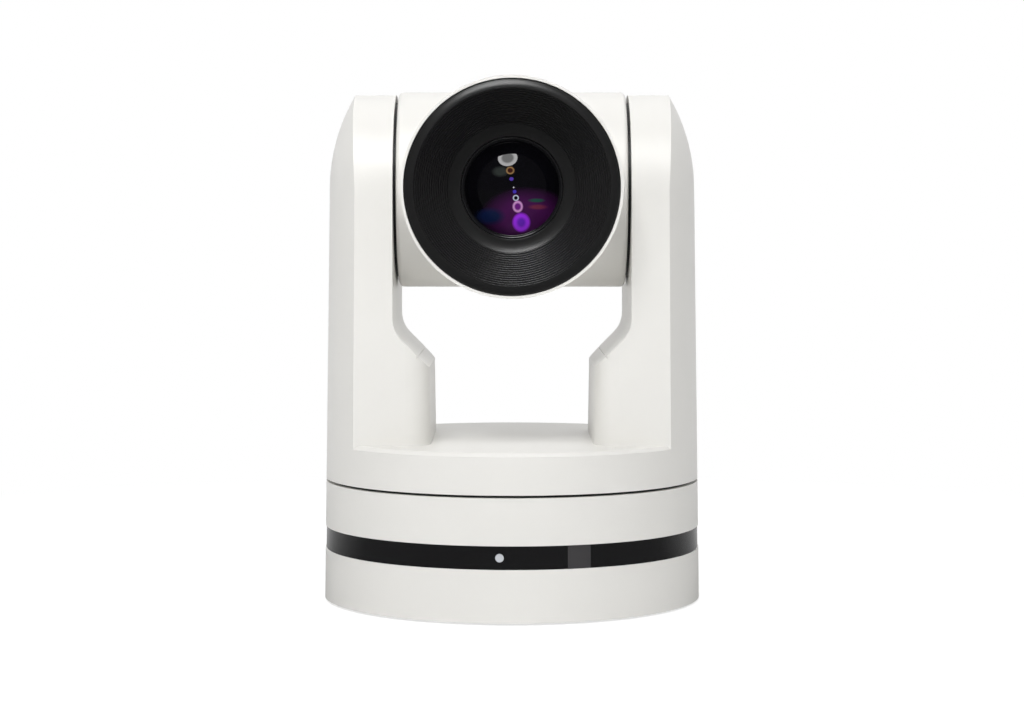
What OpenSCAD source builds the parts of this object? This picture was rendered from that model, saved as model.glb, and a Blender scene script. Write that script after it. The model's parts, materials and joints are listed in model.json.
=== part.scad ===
// Pan-tilt-zoom conference camera: round fixed base, turning yoke with two arms,
// tilting drum head with a ridged lens bezel. Millimetres. Z up, lens looks to -Y.
// The origin lies on the pan axis, at the underside of the rubber feet.

/* [Base] */
// Outer radius of the round base, measured at table height
base_r = 72; // [66:0.5:80]
// Room between the pan pulley and the base's deck
pulley_room = 1.1; // [0.8:0.1:12]
// Draft of every moulded outer wall, in degrees
draft = 0.87; // [0.3:0.01:2]
// Wall of the moulded white housings
wall = 2.2; // [1.6:0.1:3]
// Height that the rubber feet lift the tray off the table
foot_show = 0.8; // [0.5:0.1:2]
// Radius of one rubber foot
foot_r = 7; // [5:0.5:9]
// Depth that a foot is let into the tray floor
foot_sink = 1.2; // [0.8:0.1:1.6]
// Distance of each foot's centre from the base's rim
foot_inset = 12; // [11:0.5:20]
// Thickness of the tray floor
floor_t = 2.5; // [2.2:0.1:4]
// Height of the tray's outer wall, where the black band starts
band_z = 20; // [17:0.5:24]
// Height of the gloss black band
band_h = 8.5; // [6:0.5:11]
// How far the band sits back from the white walls
band_recess = 0.3; // [0.1:0.05:0.6]
// Thickness of the band
band_t = 2; // [1.5:0.1:2.5]
// Lap of the housing's inner sleeve below the band
lap = 2.5; // [1.5:0.5:4]
// Depth of the housing deck below the seam, which hides the labyrinth lip
deck_sink = 1.6; // [1.2:0.1:3]
// Thickness of the housing deck
deck_t = 2.2; // [1.8:0.1:3]

// Angle of the front feet from the X axis
foot_a1 = -35; // [-38:1:-30]
// Angle of the rear feet from the X axis
foot_a2 = 50; // [40:1:56]

/* [Indicator and receiver] */
// Diameter of the status light
led_d = 3; // [2:0.5:5]
// Angle of the status light from straight ahead, degrees towards +X
led_angle = -3.6; // [-20:0.1:20]
// Width of the infrared window
ir_w = 8.8; // [6:0.2:14]
// Angle of the infrared window from straight ahead, degrees towards +X
ir_angle = 19.8; // [12:0.1:40]
// Size of the receiver module behind the window, square
ir_mod = 6; // [5:0.5:7]
// Depth of the receiver module
ir_mod_d = 4; // [3:0.5:6]

/* [Base inside] */
// Height of the chassis plate's underside
chassis_z = 31; // [30.4:0.2:32]
// Thickness of the chassis plate
chassis_t = 2.5; // [1.5:0.1:2.6]
// Clearance between the chassis plate and the base's wall
chassis_gap = 6.8; // [5.5:0.1:9]
// Height of the main board's underside
board_z = 12; // [11:0.5:13]
// Thickness of the circuit boards
board_t = 1.6; // [1:0.2:2]
// Clearance between the main board and the base's wall
board_gap = 4.8; // [3.5:0.1:7]
// Distance of the four long screws from the base's rim
post_inset = 18; // [17:0.5:20]
// Angle of the front long screws from the X axis
post_a1 = -52; // [-60:1:-45]
// Angle of the rear long screws from the X axis
post_a2 = 24; // [15:1:28]
// Radius of the screw posts
post_r = 4.2; // [3.6:0.2:5]
// Extra radius of the shoulder that carries the main board
post_step = 1.6; // [1:0.2:2.4]
// Shank radius of the long base screws
screw_r = 1.5; // [1.25:0.05:2]
// Head radius of the long base screws
screw_head_r = 2.8; // [2.4:0.1:3.4]
// Head height of the long base screws
screw_head_h = 1.6; // [1.2:0.1:2]
// Thread depth of the long screws in the housing posts
screw_bite = 6; // [4:0.5:7]
// Radius clearance of a screw in a plain hole
screw_gap = 0.2; // [0.1:0.05:0.4]

/* [Tripod and bracket threads] */
// Radius of the quarter-inch tripod thread
tripod_r = 3.175; // [3:0.005:5]
// Depth of the tripod thread
tripod_depth = 8; // [6:0.5:8.5]
// Wall of the steel tripod insert
tripod_wall = 2.3; // [1.5:0.1:4]
// Flange of the tripod insert above the floor, radial
tripod_flange = 2; // [1:0.5:4]
// Flange height of the tripod insert
tripod_flange_h = 1.5; // [1:0.1:2.5]
// Spacing of the bracket screw holes along X
bracket_x = 60; // [50:1:66]
// Spacing of the bracket screw holes along Y
bracket_y = 50; // [40:1:56]
// Radius of the bracket screw holes
bracket_r = 2; // [1.5:0.25:2.5]
// Height of the bosses round the bracket screw holes
bracket_boss_h = 6; // [4:0.5:7]
// Wall of the bosses round the bracket screw holes
bracket_wall = 2; // [1.5:0.5:3]

/* [Rear connectors] */
// Room between the outermost connector and the bay's side
bay_side = 0.7; // [0.5:0.1:2]
// Depth of the connector bay, from the base's rim to the panel
bay_depth = 22; // [20:0.5:24]
// Height of the bay's ceiling above the table
bay_top = 36; // [35:0.5:38]
// Thickness of the connector panel
panel_t = 2; // [1:0.25:2.5]
// Gap between neighbouring connectors
port_gap = 1.6; // [1:0.1:1.7]
// How far connector faces stand out of the panel
port_out = 0.6; // [0.2:0.1:1.2]
// Depth of the connector bodies behind the panel
port_in = 13; // [11:0.5:16]
// Clearance between a connector and its panel cut-out
port_fit = 0.15; // [0.1:0.05:0.3]
// Width of the power inlet's body
dc_w = 9; // [8:0.5:11]
// Height of the power inlet's body
dc_h = 11; // [10:0.5:12]
// Bore radius of the power inlet
dc_bore = 3.2; // [2.75:0.05:3.5]
// Radius of the power inlet's centre pin
dc_pin = 1.05; // [0.65:0.05:1.3]
// Width of the audio jack's body
audio_w = 7; // [6:0.5:9]
// Height of the audio jack's body
audio_h = 7; // [6:0.5:9]
// Bore radius of the audio jack
audio_bore = 1.8; // [1.25:0.05:2]
// Width and height of the serial connector's body
serial_w = 14; // [13:0.5:15]
// Bore radius of the serial connector's round shell
serial_bore = 4.75; // [4.5:0.05:5]
// Width and height of the video connector's block
sdi_w = 12; // [11:0.5:14]
// Outer radius of the video connector's barrel
sdi_r = 4.8; // [4.5:0.05:5.2]
// Wall of the video connector's barrel
sdi_wall = 0.9; // [0.6:0.1:1.2]
// Length of the video connector's barrel outside the panel
sdi_len = 12; // [9:0.5:13]
// Radius of the bayonet lugs across their tips
sdi_lug = 5.5; // [5.2:0.05:6]
// Width of the network connector
lan_w = 16; // [15:0.25:17]
// Height of the network connector
lan_h = 13.5; // [12:0.5:14]
// Opening width of the network connector
lan_open_w = 11.7; // [11:0.1:13]
// Opening height of the network connector
lan_open_h = 8; // [6.5:0.1:9]
// Width of the square data connector
usb_w = 12; // [11:0.5:13]
// Height of the square data connector
usb_h = 11; // [10:0.5:12]
// Wall of the square data connector's shell
usb_wall = 1.4; // [1:0.1:2]
// Width of the display connector
hdmi_w = 15; // [14.5:0.1:16]
// Height of the display connector
hdmi_h = 6; // [5.5:0.1:7]
// Wall of the display connector's shell
hdmi_wall = 0.6; // [0.4:0.1:1]

/* [Pan drive] */
// Radius of the pan spindle tube
spindle_r = 10; // [8:0.5:11]
// Bore radius of the pan spindle, for the cables
spindle_bore = 6; // [4:0.5:7]
// Radius of the flange that carries the yoke
flange_r = 20.5; // [18:0.5:22]
// Outer radius of the pan bearings
pan_brg_r = 15; // [13.5:0.5:16]
// Width of one pan bearing
pan_brg_w = 5; // [4:0.5:5.5]
// Length of the bearing boss under the chassis plate
boss_len = 14; // [12.5:0.5:15]
// Wall of the bearing boss
boss_wall = 3; // [2:0.5:4]
// Running clearance of shafts in bearings, radial
run_gap = 0.05; // [0.02:0.01:0.1]
// Running clearance along a shaft
end_gap = 0.1; // [0.05:0.05:0.3]
// Thickness of the clip under the spindle
clip_t = 1; // [0.8:0.1:1.5]
// Radial height of the clip and of the spindle shoulders
shoulder = 2.6; // [1.5:0.1:3]
// Gap between the chassis plate and the pan pulley
pulley_lift = 1; // [0.6:0.1:1.3]
// Room between the belt seats of the pan pulley and its pinion
belt_room = 7.75; // [5:0.05:11]
// Belt seat radius of both motor pulleys
pinion_r = 5.85; // [5:0.05:7]
// Distance of the pan motor's axis from the base's rim
pan_side = 35; // [33:0.5:37.5]
// Width of the belts
belt_w = 4; // [3:0.5:4.4]
// Thickness of the belts
belt_t = 1.2; // [0.8:0.1:1.4]
// Thickness of a pulley flange
pulley_flange_t = 0.8; // [0.6:0.1:1]
// Radial height of a pulley flange over the belt seat
pulley_flange_h = 2; // [1.6:0.1:2.4]
// Side clearance of a belt between the flanges
belt_side = 0.3; // [0.2:0.05:0.4]
// Width of the square pan motor
pan_motor_w = 35; // [28:0.5:36]
// Thickness of the pan motor
pan_motor_t = 13; // [10:0.5:14]
// Radius of the motor shafts
motor_shaft_r = 2.5; // [1.5:0.1:3]
// Radius of the round locating step on a motor's face
motor_pilot_r = 8; // [7:0.5:11]

/* [Yoke] */
// Height of the tilt axis above the table
tilt_z = 156.5; // [150:0.5:165]
// Height of the turning seam between base and yoke
seam_gap = 1; // [0.6:0.1:1.6]
// Height of the deck between the arms
deck_z = 61.6; // [60:0.2:66]
// Chamfer round the deck's rim
deck_chamfer = 1.3; // [0.6:0.1:2]
// How far the arms' tops lie below the drum's top
arm_drop = 1.1; // [-1:0.1:2.6]
// How much narrower the arms are than the base's radius, front and back
arm_side = 33.2; // [31:0.1:34]
// Room for the tilt drive, from an arm's inner face to the base's radius
arm_depth = 28; // [26:0.1:28.3]
// How far an arm's foot stands in from its upper inner face
foot_step = 13.6; // [11:0.2:15]
// Height at which the inner faces turn into the diagonal
bend_z = 103.8; // [101:0.2:105]
// Radius of that bend
bend_r = 11; // [8:0.5:13]
// Radius of the feet's rounded inner corners
foot_round = 9; // [6:0.5:10]
// How far the cover's lower seam stands in from the arm's inner face
seam_step = 9.4; // [7:0.2:10]
// Thickness of the arms' inner covers
cover_t = 1.8; // [1.4:0.1:2]
// Width of the shell's edge round the inner covers
lip = 1; // [0.8:0.1:1.4]
// Ledge that carries an inner cover at its lower seam
ledge = 1.6; // [1:0.1:2.2]
// Clearance round an inner cover
cover_fit = 0.15; // [0.1:0.05:0.3]
// Extra radius of the cover's opening round the hub disc
hub_gap = 0.35; // [0.25:0.05:0.6]
// Thickness of the dark tray that closes the yoke below
tray_t = 2.2; // [1.8:0.1:3]
// Inset of the labyrinth lip from the base's outer wall
lip_inset = 0.5; // [0.3:0.1:1]
// Wall of the labyrinth lip
lip_wall = 1.6; // [1.2:0.1:2.4]
// Gap under the labyrinth lip
lip_gap = 0.6; // [0.4:0.1:0.8]
// Thickness of the steel yoke frame
frame_t = 2.5; // [2:0.1:3]
// Distance of the yoke frame's floor from the base's radius
frame_inset = 10; // [8:0.5:14]
// Radius of the cable hole in the yoke frame
frame_bore = 7; // [6.5:0.5:9]
// Half width of the frame's uprights, front to back
upright_hy = 19; // [17.5:0.5:22]
// Room between an arm's inner face and the upright behind it
upright_gap = 3.2; // [2.8:0.2:4]
// Height of the uprights over the tilt axis
upright_top = 18; // [17:0.5:22]
// Distance of the yoke screws from the pan axis
yoke_screw_pcr = 15.5; // [14:0.5:16.5]
// Count of the yoke screws in the flange
yoke_screw_n = 4; // [3:1:8]
// Distance of the shell screws from the base's rim
shell_screw_inset = 14; // [12.5:0.5:16]
// Angle between neighbouring shell screws at the front and at the back
shell_screw_a = 40; // [36:1:40]
// Radius of the shell's screw posts
shell_post_r = 3.4; // [3:0.2:4.4]

/* [Tilt drive] */
// Outer radius of the tilt bearings
tilt_brg_r = 13; // [11:0.5:14]
// Width of the tilt bearings
tilt_brg_w = 5; // [4:0.5:5.5]
// Wall of the bearing collar on the upright
collar_wall = 2.5; // [1.5:0.5:3]
// Radius of the tilt shafts
tilt_shaft_r = 8; // [7:0.5:9]
// Bore radius of the tilt shafts, for the cables
tilt_shaft_bore = 5; // [3:0.5:5.5]
// Belt seat radius of the big tilt pulley
tilt_pulley_r = 20; // [17:0.5:22]
// Gap between the bearing and the tilt pulley
tilt_pulley_gap = 0.8; // [0.4:0.1:1.2]
// Height of the tilt motor's shaft above the table
tilt_motor_z = 75; // [73:0.5:76]
// Width of the square tilt motor
tilt_motor_w = 28; // [24:0.5:28]
// Thickness of the tilt motor
tilt_motor_t = 13; // [10:0.5:13.5]

/* [Head] */
// Step from the barrel's radius down to the drum's
barrel_step = 3.1; // [2.2:0.1:5.2]
// Gap between each end of the drum and the arm beside it
arm_gap = 1.1; // [0.8:0.1:2.5]
// Fillet of the drum's end edges
drum_edge = 1.6; // [0.8:0.1:2]
// Room between the barrel's side and the arms' inner faces
barrel_room = 3.8; // [3:0.1:5]
// Distance of the barrel's front edge from the tilt axis
barrel_y = 58; // [54:0.5:60]
// Distance from the tilt axis at which the barrel tapers into the drum
barrel_back = 20; // [14:0.5:26]
// Length of that taper
barrel_taper = 12; // [8:0.5:14]
// Wall of the head's mouldings
head_wall = 2; // [1.6:0.1:2.4]
// Distance of the rear cover's seam behind the tilt axis
rear_seam = 14; // [13:0.5:20]
// Visible gap of the rear cover's seam
rear_gap = 0.25; // [0.15:0.05:0.4]
// Step from the drum's radius down to the hub discs'
hub_inset = 4.1; // [4.1:0.1:7]
// Thickness of the black hub discs
hub_t = 3.1; // [2:0.1:3.2]
// Radius of the flanges on the tilt shafts inside the head
shaft_flange_r = 16; // [13:0.5:18]
// Thickness of those flanges
shaft_flange_t = 2.5; // [2:0.1:3]
// Thickness of the steel head bracket
bracket_t = 2; // [1.6:0.1:2.5]
// Half width of the head bracket, front to back
bracket_hy = 13; // [12:0.5:13.5]

/* [Bezel] */
// White rim of the barrel that shows round the bezel
bezel_rim = 1.1; // [0.7:0.1:2.2]
// Clearance round the bezel in the barrel's mouth
bezel_fit = 0.1; // [0.05:0.05:0.2]
// How far the bezel's rim stands out of the barrel
bezel_out = 0.6; // [0.2:0.1:1.5]
// Depth of the bezel's seat in the barrel
bezel_seat = 3.5; // [2.5:0.5:5]
// Width of the smooth outer ring
ring_w = 3.7; // [2.5:0.1:5]
// Drop of the outer ring's bevel towards its rim
ring_drop = 1.2; // [0.6:0.1:2]
// Depth of the outer ring's inner step
ring_step = 0.8; // [0.4:0.1:1.2]
// Count of the stepped ridges
ridge_n = 15; // [8:1:18]
// Radial width of the smooth ring inside the ridges
smooth_w = 4.9; // [3:0.1:7]
// Axial depth of one ridge step
ridge_d = 1.1; // [0.6:0.05:1.3]
// Inner radius of the smooth ring round the glass
bezel_bore = 18.8; // [18:0.1:20]
// Depth of the bore's edge behind the smooth ring
bezel_lip = 2.4; // [1.6:0.1:3]

/* [Lens] */
// Radius of the front glass
glass_r = 17.3; // [15:0.1:17.6]
// Radius of curvature of the front glass
glass_curve = 27; // [22:0.5:40]
// Edge thickness of the front glass
glass_edge = 3; // [2:0.1:5]
// Recess of the glass rim behind the bezel's smooth ring
glass_sink = 1.2; // [0.5:0.1:2]
// Wall of the black ring that holds the glass
lens_ring_w = 1.2; // [0.8:0.1:1.4]
// Length of the ring that holds the glass
lens_ring_len = 6; // [5:0.5:8]
// Clearance between lens parts that sit in each other
lens_fit = 0.05; // [0.03:0.01:0.1]
// Wall of the lens block's tube
block_wall = 1.8; // [1.4:0.1:2.2]
// Radius of the two guide rods
rod_r = 1; // [0.8:0.1:1.3]
// Distance of the guide rods from the lens axis
rod_off = 15.6; // [15:0.1:16]
// Radius of the fixed second lens
fixed_r = 13; // [11:0.5:13.5]
// Thickness of the fixed second lens
fixed_t = 4; // [3:0.5:5]
// Distance of the second lens's bulkhead from the tilt axis
bulk_y = 27; // [25:0.5:28]
// Thickness of the lens block's bulkheads
bulk_t = 2; // [1.5:0.5:3]
// Radius of the moving lenses
group_r = 10; // [8:0.5:11]
// Thickness of the moving lenses
group_t = 4; // [3:0.5:5]
// Wall of the moving carriages
group_wall = 2; // [1.5:0.25:2.5]
// Length of the moving carriages
group_len = 6; // [5:0.5:7]
// Rest position of the zoom group's front behind the bulkhead
zoom_rest = 1; // [0.5:0.1:2]
// Distance from the bulkhead to the focus group's front at rest
focus_rest = 25; // [23:0.5:26]
// Width and height of the sensor board
sensor_w = 30; // [26:0.5:32]
// Width of the image sensor's package
sensor_chip = 12; // [9:0.5:14]
// Thickness of the image sensor's package
sensor_chip_t = 2; // [1:0.5:3]
// Size of the camera module's housing behind the lens, square
module_w = 38; // [34:0.5:40]
// Depth of the camera module's housing
module_d = 10; // [8:0.5:12]
// Wall of the camera module's housing
module_wall = 1.5; // [1:0.25:2]
// Room behind the focus carriage at rest
focus_room = 4; // [3.5:0.5:5]
// Distance of the rear cover's screws inside the drum's radius
head_screw_drop = 10.1; // [9:0.1:12]
// Radius of the rear cover's screw posts
head_post_r = 3.4; // [3:0.2:3.8]
// Length of the screw posts in front of the rear seam
head_post_len = 9; // [7:0.5:10]
// Distance of the rear cover's screws inside the drum's ends
head_screw_side = 12.9; // [11:0.5:17]
// Radius of the rear cover's screws
head_screw_r = 1.25; // [1:0.25:1.5]
// Head radius of the rear cover's screws
head_screw_head = 2.4; // [2:0.1:2.8]

/* [Hidden] */
$fn = 96;
eps = 0.01;
slope = tan(draft);
white = [0.90, 0.89, 0.87];
black = [0.08, 0.08, 0.09];
dark = [0.16, 0.16, 0.17];
steel = [0.66, 0.67, 0.69];
green = [0.10, 0.36, 0.20];
sides = [1, -1];

// Base height, stacked up from the chassis plate.
pulley_h = belt_w + 2 * belt_side + 2 * pulley_flange_t;
base_h = chassis_z + chassis_t + pulley_lift + pulley_h + pulley_room + deck_t + deck_sink;

// Sizes that follow the base's radius.
board_r = base_r - wall - board_gap;
chassis_r = base_r - wall - chassis_gap;
foot_pcr = base_r - foot_inset;
post_pcr = base_r - post_inset;
bay_y = base_r - bay_depth;
frame_r = base_r - frame_inset;
shell_screw_pcr = base_r - shell_screw_inset;
arm_in = base_r - arm_depth;
foot_in = arm_in - foot_step;
cover_seam = arm_in - seam_step;
upright_x = arm_in + upright_gap;
drum_hw = arm_in - arm_gap;
barrel_r = arm_in - barrel_room;
drum_r = barrel_r - barrel_step;
hub_r = drum_r - hub_inset;
arm_hy = base_r - arm_side;
arm_top = drum_r - arm_drop;
pan_centres = base_r - pan_side;
pan_pulley_r = pan_centres - pinion_r - belt_room;
bezel_r = barrel_r - bezel_rim;
head_screw_z = drum_r - head_screw_drop;
head_screw_x = drum_hw - head_screw_side;

// Radius of the drafted outer wall at a height.
function wall_r(z) = base_r - z * slope;

// Half width of the arms, front to back, at a height.
function side_hy(z) = arm_hy + (arms_top - arm_hy - z) * slope;

// Heights in the base.
floor_top = foot_show + floor_t;
band_top = band_z + band_h;
band_mid = band_z + band_h / 2;
sleeve_inset = band_recess + band_t;
window_in = 3 * ir_mod_d;
deck_top = base_h - deck_sink;
deck_under = deck_top - deck_t;
board_top = board_z + board_t;
chassis_top = chassis_z + chassis_t;
panel_back = bay_y - panel_t;
boards_back = panel_back - 0.5;

// Bay and connectors, in a row along X.
port_w = [dc_w, audio_w, serial_w, sdi_w, lan_w, usb_w, hdmi_w];
function port_sum(i) = i == 0 ? 0 : port_sum(i - 1) + port_w[i - 1] + port_gap;
ports_total = port_sum(6) + port_w[6];
bay_hw = ports_total / 2 + bay_side;
panel_hw = bay_hw - port_fit;
function port_x(i) = port_sum(i) + port_w[i] / 2 - ports_total / 2;
port_face = bay_y + port_out;
port_back = panel_back - port_in;
port_len = port_face - port_back;
bay_inner = port_back + 1;

// Screw posts and feet.
post_angles = [post_a1, 180 - post_a1, post_a2, 180 - post_a2];
foot_angles = [foot_a1, 180 - foot_a1, foot_a2, 180 - foot_a2];
insert_r = tripod_r + tripod_wall;
insert_top = foot_show + tripod_depth;
counter_top = foot_show + screw_head_h + screw_gap;

// Pan drive heights.
boss_bottom = chassis_z - boss_len;
pan_pulley_z = chassis_top + pulley_lift;
pinion_bore = motor_shaft_r + run_gap;
spindle_bottom = boss_bottom - end_gap - 2 * clip_t;
yoke_z = base_h + seam_gap;
frame_z = yoke_z + tray_t;
frame_top = frame_z + frame_t;
deck_lower = deck_z - wall;

// Arms.
arms_top = tilt_z + arm_top;
dome_z = tilt_z;
diag = bend_z - arm_in;
seam_sum = 2 * cover_seam + diag;
foot_mid_z = (deck_z + foot_in + diag) / 2;
arm_arc_z = arms_top - arm_hy;
foot_cy = arm_hy + (arm_arc_z - foot_mid_z) * slope - foot_round;

// Tilt drive, measured outwards from the pan axis.
hub_x = drum_hw + hub_t;
tilt_brg_x2 = upright_x + tilt_brg_w;
tilt_pulley_x = tilt_brg_x2 + tilt_pulley_gap;
tilt_centres = tilt_z - tilt_motor_z;
drum_in = drum_hw - head_wall;
shaft_flange_x = drum_in - shaft_flange_t;
bracket_x0 = shaft_flange_x - bracket_t;
bracket_back = rear_seam - head_post_len - 0.5;

head_reach = head_screw_z + head_screw_head;
head_counter_y = sqrt(drum_r * drum_r - head_reach * head_reach) - screw_head_h - screw_gap;

// Lens positions along Y, negative towards the scene.
bezel_y = -(barrel_y + bezel_out);
ridge_r0 = bezel_r - ring_w;
ridge_y0 = bezel_y + ring_step;
ridge_w = (ridge_r0 - bezel_bore - smooth_w) / ridge_n;
ridge_r1 = ridge_r0 - ridge_n * ridge_w;
smooth_y = ridge_y0 + ridge_n * ridge_d;
bezel_back = smooth_y + bezel_lip;
seat_y = bezel_seat - barrel_y;
glass_y = smooth_y + glass_sink;
glass_back = glass_y + glass_edge;
lens_ring_r = bezel_bore - lens_fit;
lens_ring_y = glass_y - glass_sink / 2;
lens_ring_back = lens_ring_y + lens_ring_len;
block_in = bezel_bore;
block_r = block_in + block_wall;
bulk_back = bulk_t - bulk_y;
zoom_y = bulk_back + zoom_rest;
focus_y = bulk_back + focus_rest;
rear_bulk_y = focus_y + group_len + focus_room;
rear_bulk_back = rear_bulk_y + bulk_t;
chip_y = rear_bulk_back + end_gap;
sensor_y = chip_y + sensor_chip_t;

// ---------- shared shapes ----------

module drafted_disc(z0, z1, inset)
    rotate_extrude()
        polygon([[0, z0], [wall_r(z0) - inset, z0], [wall_r(z1) - inset, z1], [0, z1]]);

module drafted_ring(z0, z1, inset, t)
    rotate_extrude()
        polygon([
            [wall_r(z0) - inset - t, z0], [wall_r(z0) - inset, z0],
            [wall_r(z1) - inset, z1], [wall_r(z1) - inset - t, z1]
        ]);

module tube(r1, r0, z0, z1)
    translate([0, 0, z0])
        difference() {
            cylinder(r = r1, h = z1 - z0);
            translate([0, 0, -1]) cylinder(r = r0, h = z1 - z0 + 2);
        }

module rod(r, z0, z1)
    translate([0, 0, z0]) cylinder(r = r, h = z1 - z0);

// Lies along X at the tilt axis, from x0 to x1.
module xrod(r, x0, x1)
    translate([x0, 0, tilt_z]) rotate([0, 90, 0]) cylinder(r = r, h = x1 - x0);

// Lies along Y at the lens axis, from y0 to y1.
module yrod(r, y0, y1)
    translate([0, y1, tilt_z]) rotate([90, 0, 0]) cylinder(r = r, h = y1 - y0);

module ytube(r1, r0, y0, y1)
    difference() {
        yrod(r1, y0, y1);
        yrod(r0, y0 - 1, y1 + 1);
    }

module xtube(r1, r0, x0, x1)
    difference() {
        xrod(r1, x0, x1);
        xrod(r0, x0 - 1, x1 + 1);
    }

// Box spanned by two corners.
module span(a, b)
    translate(a) cube([b[0] - a[0], b[1] - a[1], b[2] - a[2]]);

module at_posts()
    for (a = post_angles) rotate(a) translate([post_pcr, 0, 0]) children();

module at_feet()
    for (a = foot_angles) rotate(a) translate([foot_pcr, 0, 0]) children();

module at_bracket()
    for (x = sides) for (y = sides) translate([x * bracket_x / 2, y * bracket_y / 2, 0]) children();

module at_shell_screws()
    for (s = sides) for (k = [-1, 0, 1])
        rotate(90 * s + k * shell_screw_a) translate([shell_screw_pcr, 0, 0]) children();

module at_yoke_screws()
    for (i = [0 : yoke_screw_n - 1])
        rotate(45 + i * 360 / yoke_screw_n) translate([yoke_screw_pcr, 0, 0]) children();

module both_sides() {
    children();
    mirror([1, 0, 0]) children();
}

// Space of the connector bay, behind the panel's outer face line.
module bay_space()
    span([-bay_hw, bay_inner, floor_top], [bay_hw, base_r + 5, bay_top]);

// Half of a pulley's outline, turned about Z: seat radius r, bore b, height pulley_h.
module pulley(r, b, z0)
    rotate_extrude()
        polygon([
            [b, z0], [r + pulley_flange_h, z0],
            [r + pulley_flange_h, z0 + pulley_flange_t], [r, z0 + pulley_flange_t],
            [r, z0 + pulley_h - pulley_flange_t], [r + pulley_flange_h, z0 + pulley_h - pulley_flange_t],
            [r + pulley_flange_h, z0 + pulley_h], [b, z0 + pulley_h]
        ]);

module belt_outline(r1, r2, d)
    hull() {
        circle(r = r1);
        translate([0, -d]) circle(r = r2);
    }

// Belt round two pulleys whose centres lie d apart along -Y, seat radii r1 and r2.
module belt(r1, r2, d)
    linear_extrude(belt_w)
        difference() {
            belt_outline(r1 + run_gap + belt_t, r2 + run_gap + belt_t, d);
            belt_outline(r1 + run_gap, r2 + run_gap, d);
        }

// ---------- fixed base ----------

module base_tray()
    color(white)
    difference() {
        union() {
            drafted_disc(foot_show, floor_top, 0);
            difference() {
                drafted_ring(foot_show, band_z, 0, wall);
                bay_space();
            }
            rod(insert_r + post_step, foot_show, insert_top);
            at_bracket() rod(bracket_r + bracket_wall, foot_show, floor_top + bracket_boss_h);
            at_posts() rod(post_r + post_step, foot_show, board_z);
            at_posts() rod(post_r, foot_show, chassis_z);
        }
        rod(insert_r, foot_show - 1, insert_top + 1);
        at_bracket() rod(bracket_r, foot_show - 1, floor_top + bracket_boss_h - 1.2);
        at_posts() rod(screw_r + screw_gap, foot_show - 1, chassis_z + 1);
        at_posts() rod(screw_head_r + screw_gap, foot_show - 1, counter_top);
        at_feet() rod(foot_r + 0.1, foot_show - 1, foot_show + foot_sink);
    }

module tripod_insert()
    color(steel)
    difference() {
        union() {
            rod(insert_r, foot_show, insert_top);
            rod(insert_r + tripod_flange, insert_top, insert_top + tripod_flange_h);
        }
        rod(tripod_r, foot_show - 1, insert_top);
    }

module base_feet()
    color(black)
    at_feet() rod(foot_r, 0, foot_show + foot_sink);

module base_housing()
    color(white)
    difference() {
        union() {
            difference() {
                union() {
                    drafted_ring(band_top, base_h, 0, wall);
                    drafted_ring(band_z - lap, band_top + wall, sleeve_inset, wall);
                    drafted_ring(band_top, band_top + wall, wall / 2, sleeve_inset + wall / 2);
                }
                bay_space();
            }
            difference() {
                drafted_disc(deck_under, deck_top, wall / 2);
                rod(spindle_r + shoulder + 1, deck_under - 1, deck_top + 1);
            }
            intersection() {
                drafted_disc(bay_top, bay_top + wall, wall / 2);
                span([-base_r, panel_back, bay_top - 1], [base_r, base_r, bay_top + wall + 1]);
            }
            at_posts() rod(post_r, chassis_top, deck_under + 0.5);
        }
        at_posts() rod(screw_r + run_gap, chassis_top - 1, chassis_top + screw_bite + 0.5);
        rotate(led_angle) translate([0, -base_r + sleeve_inset + 2 * wall, band_mid]) rotate([90, 0, 0])
            cylinder(r = led_d / 2 + run_gap, h = base_r);
        rotate(ir_angle)
            span([1 - ir_w / 2, -base_r - 5, band_z + 1], [ir_w / 2 - 1, window_in - base_r, band_top - 1]);
    }

// Space that the window and the light take in the band.
module window_space(gap)
    rotate(ir_angle)
        span([-ir_w / 2 - gap, -base_r - 5, band_z - 1], [ir_w / 2 + gap, window_in - base_r, band_top + 1]);

module front_band()
    color(black)
    difference() {
        drafted_ring(band_z, band_top, band_recess, band_t);
        bay_space();
        window_space(run_gap);
        rotate(led_angle) translate([0, 0, band_mid]) rotate([90, 0, 0])
            cylinder(r = led_d / 2 + run_gap, h = base_r + 5);
    }

module ir_window()
    color([0.25, 0.22, 0.24])
    intersection() {
        drafted_ring(band_z, band_top, band_recess, band_t);
        window_space(0);
    }

// A light pipe that stands on the front edge of the main board.
module status_led()
    color([0.85, 0.87, 0.9])
    rotate(led_angle) {
        translate([0, 2 - board_r, band_mid]) rotate([90, 0, 0])
            cylinder(r = led_d / 2, h = wall_r(band_mid) - band_recess - board_r + 2);
        span([-led_d / 2, 1 - board_r, board_top], [led_d / 2, led_d + 1 - board_r, band_mid + led_d / 2]);
    }

module ir_receiver()
    color(dark)
    rotate(ir_angle) {
        span([-ir_mod / 2, 1 - board_r, band_mid - ir_mod / 2],
             [ir_mod / 2, ir_mod_d + 1 - board_r, band_mid + ir_mod / 2]);
        for (k = [-1, 0, 1])
            span([k * ir_mod / 3 - 0.3, ir_mod_d - board_r, board_top],
                 [k * ir_mod / 3 + 0.3, ir_mod_d + 0.6 - board_r, band_mid - ir_mod / 2 + 0.5]);
    }

module main_board()
    color(green)
    difference() {
        rod(board_r, board_z, board_top);
        span([-base_r, boards_back, board_z - 1], [base_r, base_r, board_top + 1]);
        at_posts() rod(post_r + screw_gap, board_z - 1, board_top + 1);
    }

// Volumes of the connector bodies, grown by a gap, for the panel's cut-outs.
module port_box(i, w, h, gap)
    span([port_x(i) - w / 2 - gap, port_back - gap, board_top - gap],
         [port_x(i) + w / 2 + gap, port_face, board_top + h + gap]);

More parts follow.
